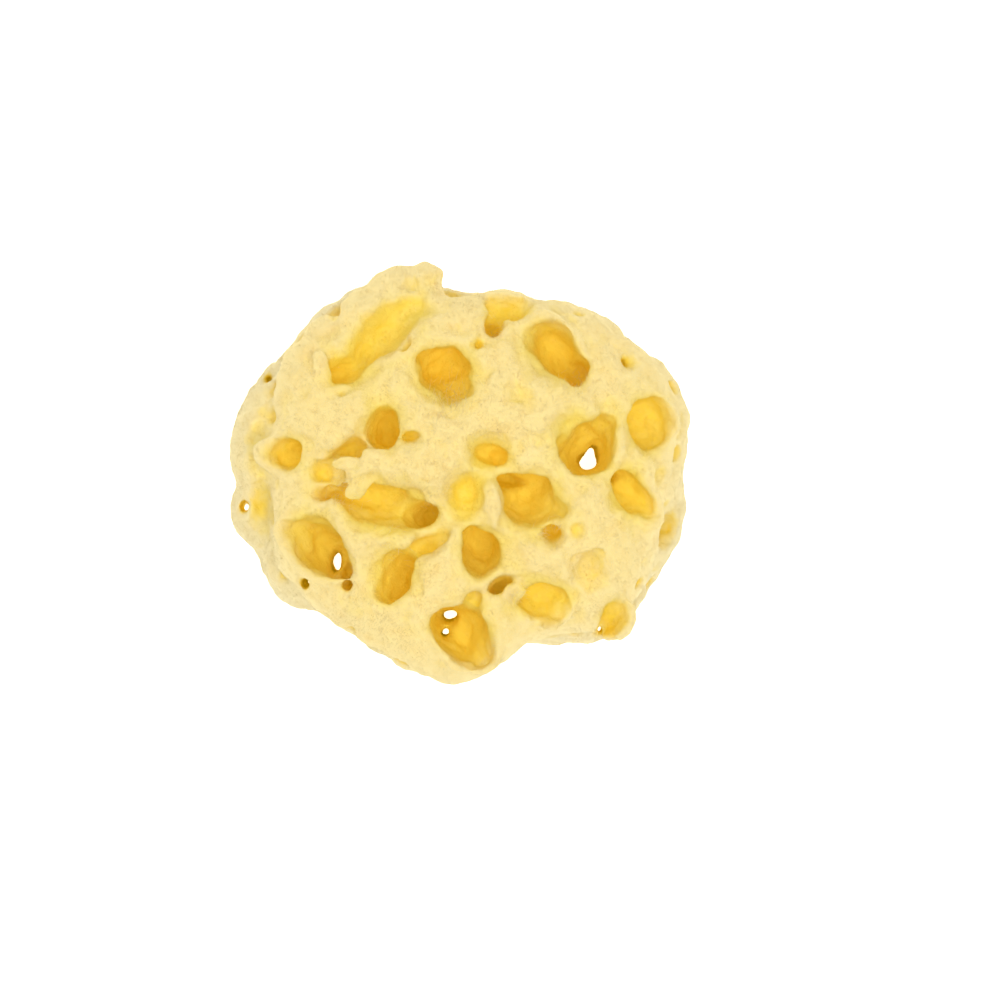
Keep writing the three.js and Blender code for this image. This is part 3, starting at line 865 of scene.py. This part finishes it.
# %% Down on the skin
FIBRES = 44000
DOWN_PIECES = 3
chances = np.random.default_rng(11)
mesh = skeleton.data
mesh.calc_loop_triangles()
triples = np.empty(len(mesh.loop_triangles) * 3, np.int32)
mesh.loop_triangles.foreach_get("vertices", triples)
triples = triples.reshape(-1, 3)
places = corners_of(mesh).astype(np.float64)
facing = normals_of(mesh).astype(np.float64)
sides = places[triples]
areas = np.linalg.norm(np.cross(sides[:, 1] - sides[:, 0], sides[:, 2] - sides[:, 0]), axis=1) / 2
middles = sides.mean(axis=1)
upward = np.clip(facing[triples].mean(axis=1)[:, 2], 0, 1)
shade = hidden[triples].mean(axis=1)
wanted = areas * (1.15 - shade) * (0.35 + 0.65 * upward) * (middles[:, 2] > 1.5 * MM)
for piece in range(DOWN_PIECES):
    chosen = chances.choice(len(triples), FIBRES, p=wanted / wanted.sum())
    shares = chances.dirichlet((1, 1, 1), FIBRES)
    roots = (sides[chosen] * shares[:, :, None]).sum(axis=1)
    normals = facing[triples[chosen]].mean(axis=1)
    whorl = np.array([noise.noise_vector(Vector(p) / (2.6 * MM)) for p in roots])
    ways = normals * 0.55 + whorl * 1.5 + chances.normal(size=normals.shape) * 0.3
    ways += normals * np.clip(0.15 - (ways * normals).sum(axis=1), 0, None)[:, None]
    lengths = chances.uniform(0.35, 1.0, FIBRES) * (0.45 + 0.55 * upward[chosen]) * MM
    widths = chances.uniform(0.022, 0.040, FIBRES) * MM
    rooted = roots - normals * (0.05 * MM)  # a little under the skin
    laid_down("down_" + str(piece), rooted, ways, lengths, widths, shade[chosen])

# %% [markdown]
# ### Wisps
# Where a rim was torn, longer fibres lie over it in loose wisps. They are the same fibre, drawn out to a
# few millimetres. They could be combed by hand, but a place, a spread and a direction are enough for each
# wisp.

# %% Wisps
# Each row: place, spread, how many hairs, their length in mm, and the way they point in degrees.
WISPS = [
    (-1.0, 13.6, 4.2, 150, 3.2, 80),
    (-4.6, 9.6, 3.2, 90, 2.6, 30),
    (-23.0, -4.8, 3.4, 90, 2.4, 20),
    (15.9, -11.2, 1.8, 46, 2.8, -20),
    (19.0, -9.4, 1.6, 34, 2.4, -100),
    (11.0, -22.8, 2.0, 170, 1.6, -60),
    (-4.6, -5.2, 2.4, 120, 1.6, 10),
    (-20.4, -0.6, 3.6, 110, 1.6, 200),
    (22.6, 16.6, 4.0, 110, 2.4, 60),
    (8.6, 26.0, 3.0, 90, 2.0, -150),
    (-27.4, 19.6, 3.4, 90, 2.0, 100),
    (3.2, 32.6, 4.0, 160, 1.6, 0),
    (-7.0, 38.0, 4.6, 160, 1.4, 70),
    (-12.8, -12.6, 4.0, 80, 2.2, -20),
]
body_skin = top_tree(skeleton)
roots, ways, lengths = [], [], []
for x, y, spread, how_many, length, direction in WISPS:
    for hair in range(how_many):
        spot = Vector((chance.gauss(x, spread / 2), chance.gauss(y, spread / 2), 200)) * MM
        hit, normal = body_skin.ray_cast(spot, Vector((0, 0, -1)))[:2]
        if hit is not None and normal.z > 0.3:
            lean = way(direction + chance.gauss(0, 45)) + normal * chance.uniform(0.1, 0.7)
            roots.append(hit - normal * (0.1 * MM))
            ways.append(lean)
            lengths.append(length * chance.uniform(0.4, 1.0) * MM)
widths = np.full(len(roots), 0.03 * MM)
open_to_light = np.zeros(len(roots))
laid_down("wisps", np.array(roots), np.array(ways), np.array(lengths), widths, open_to_light)
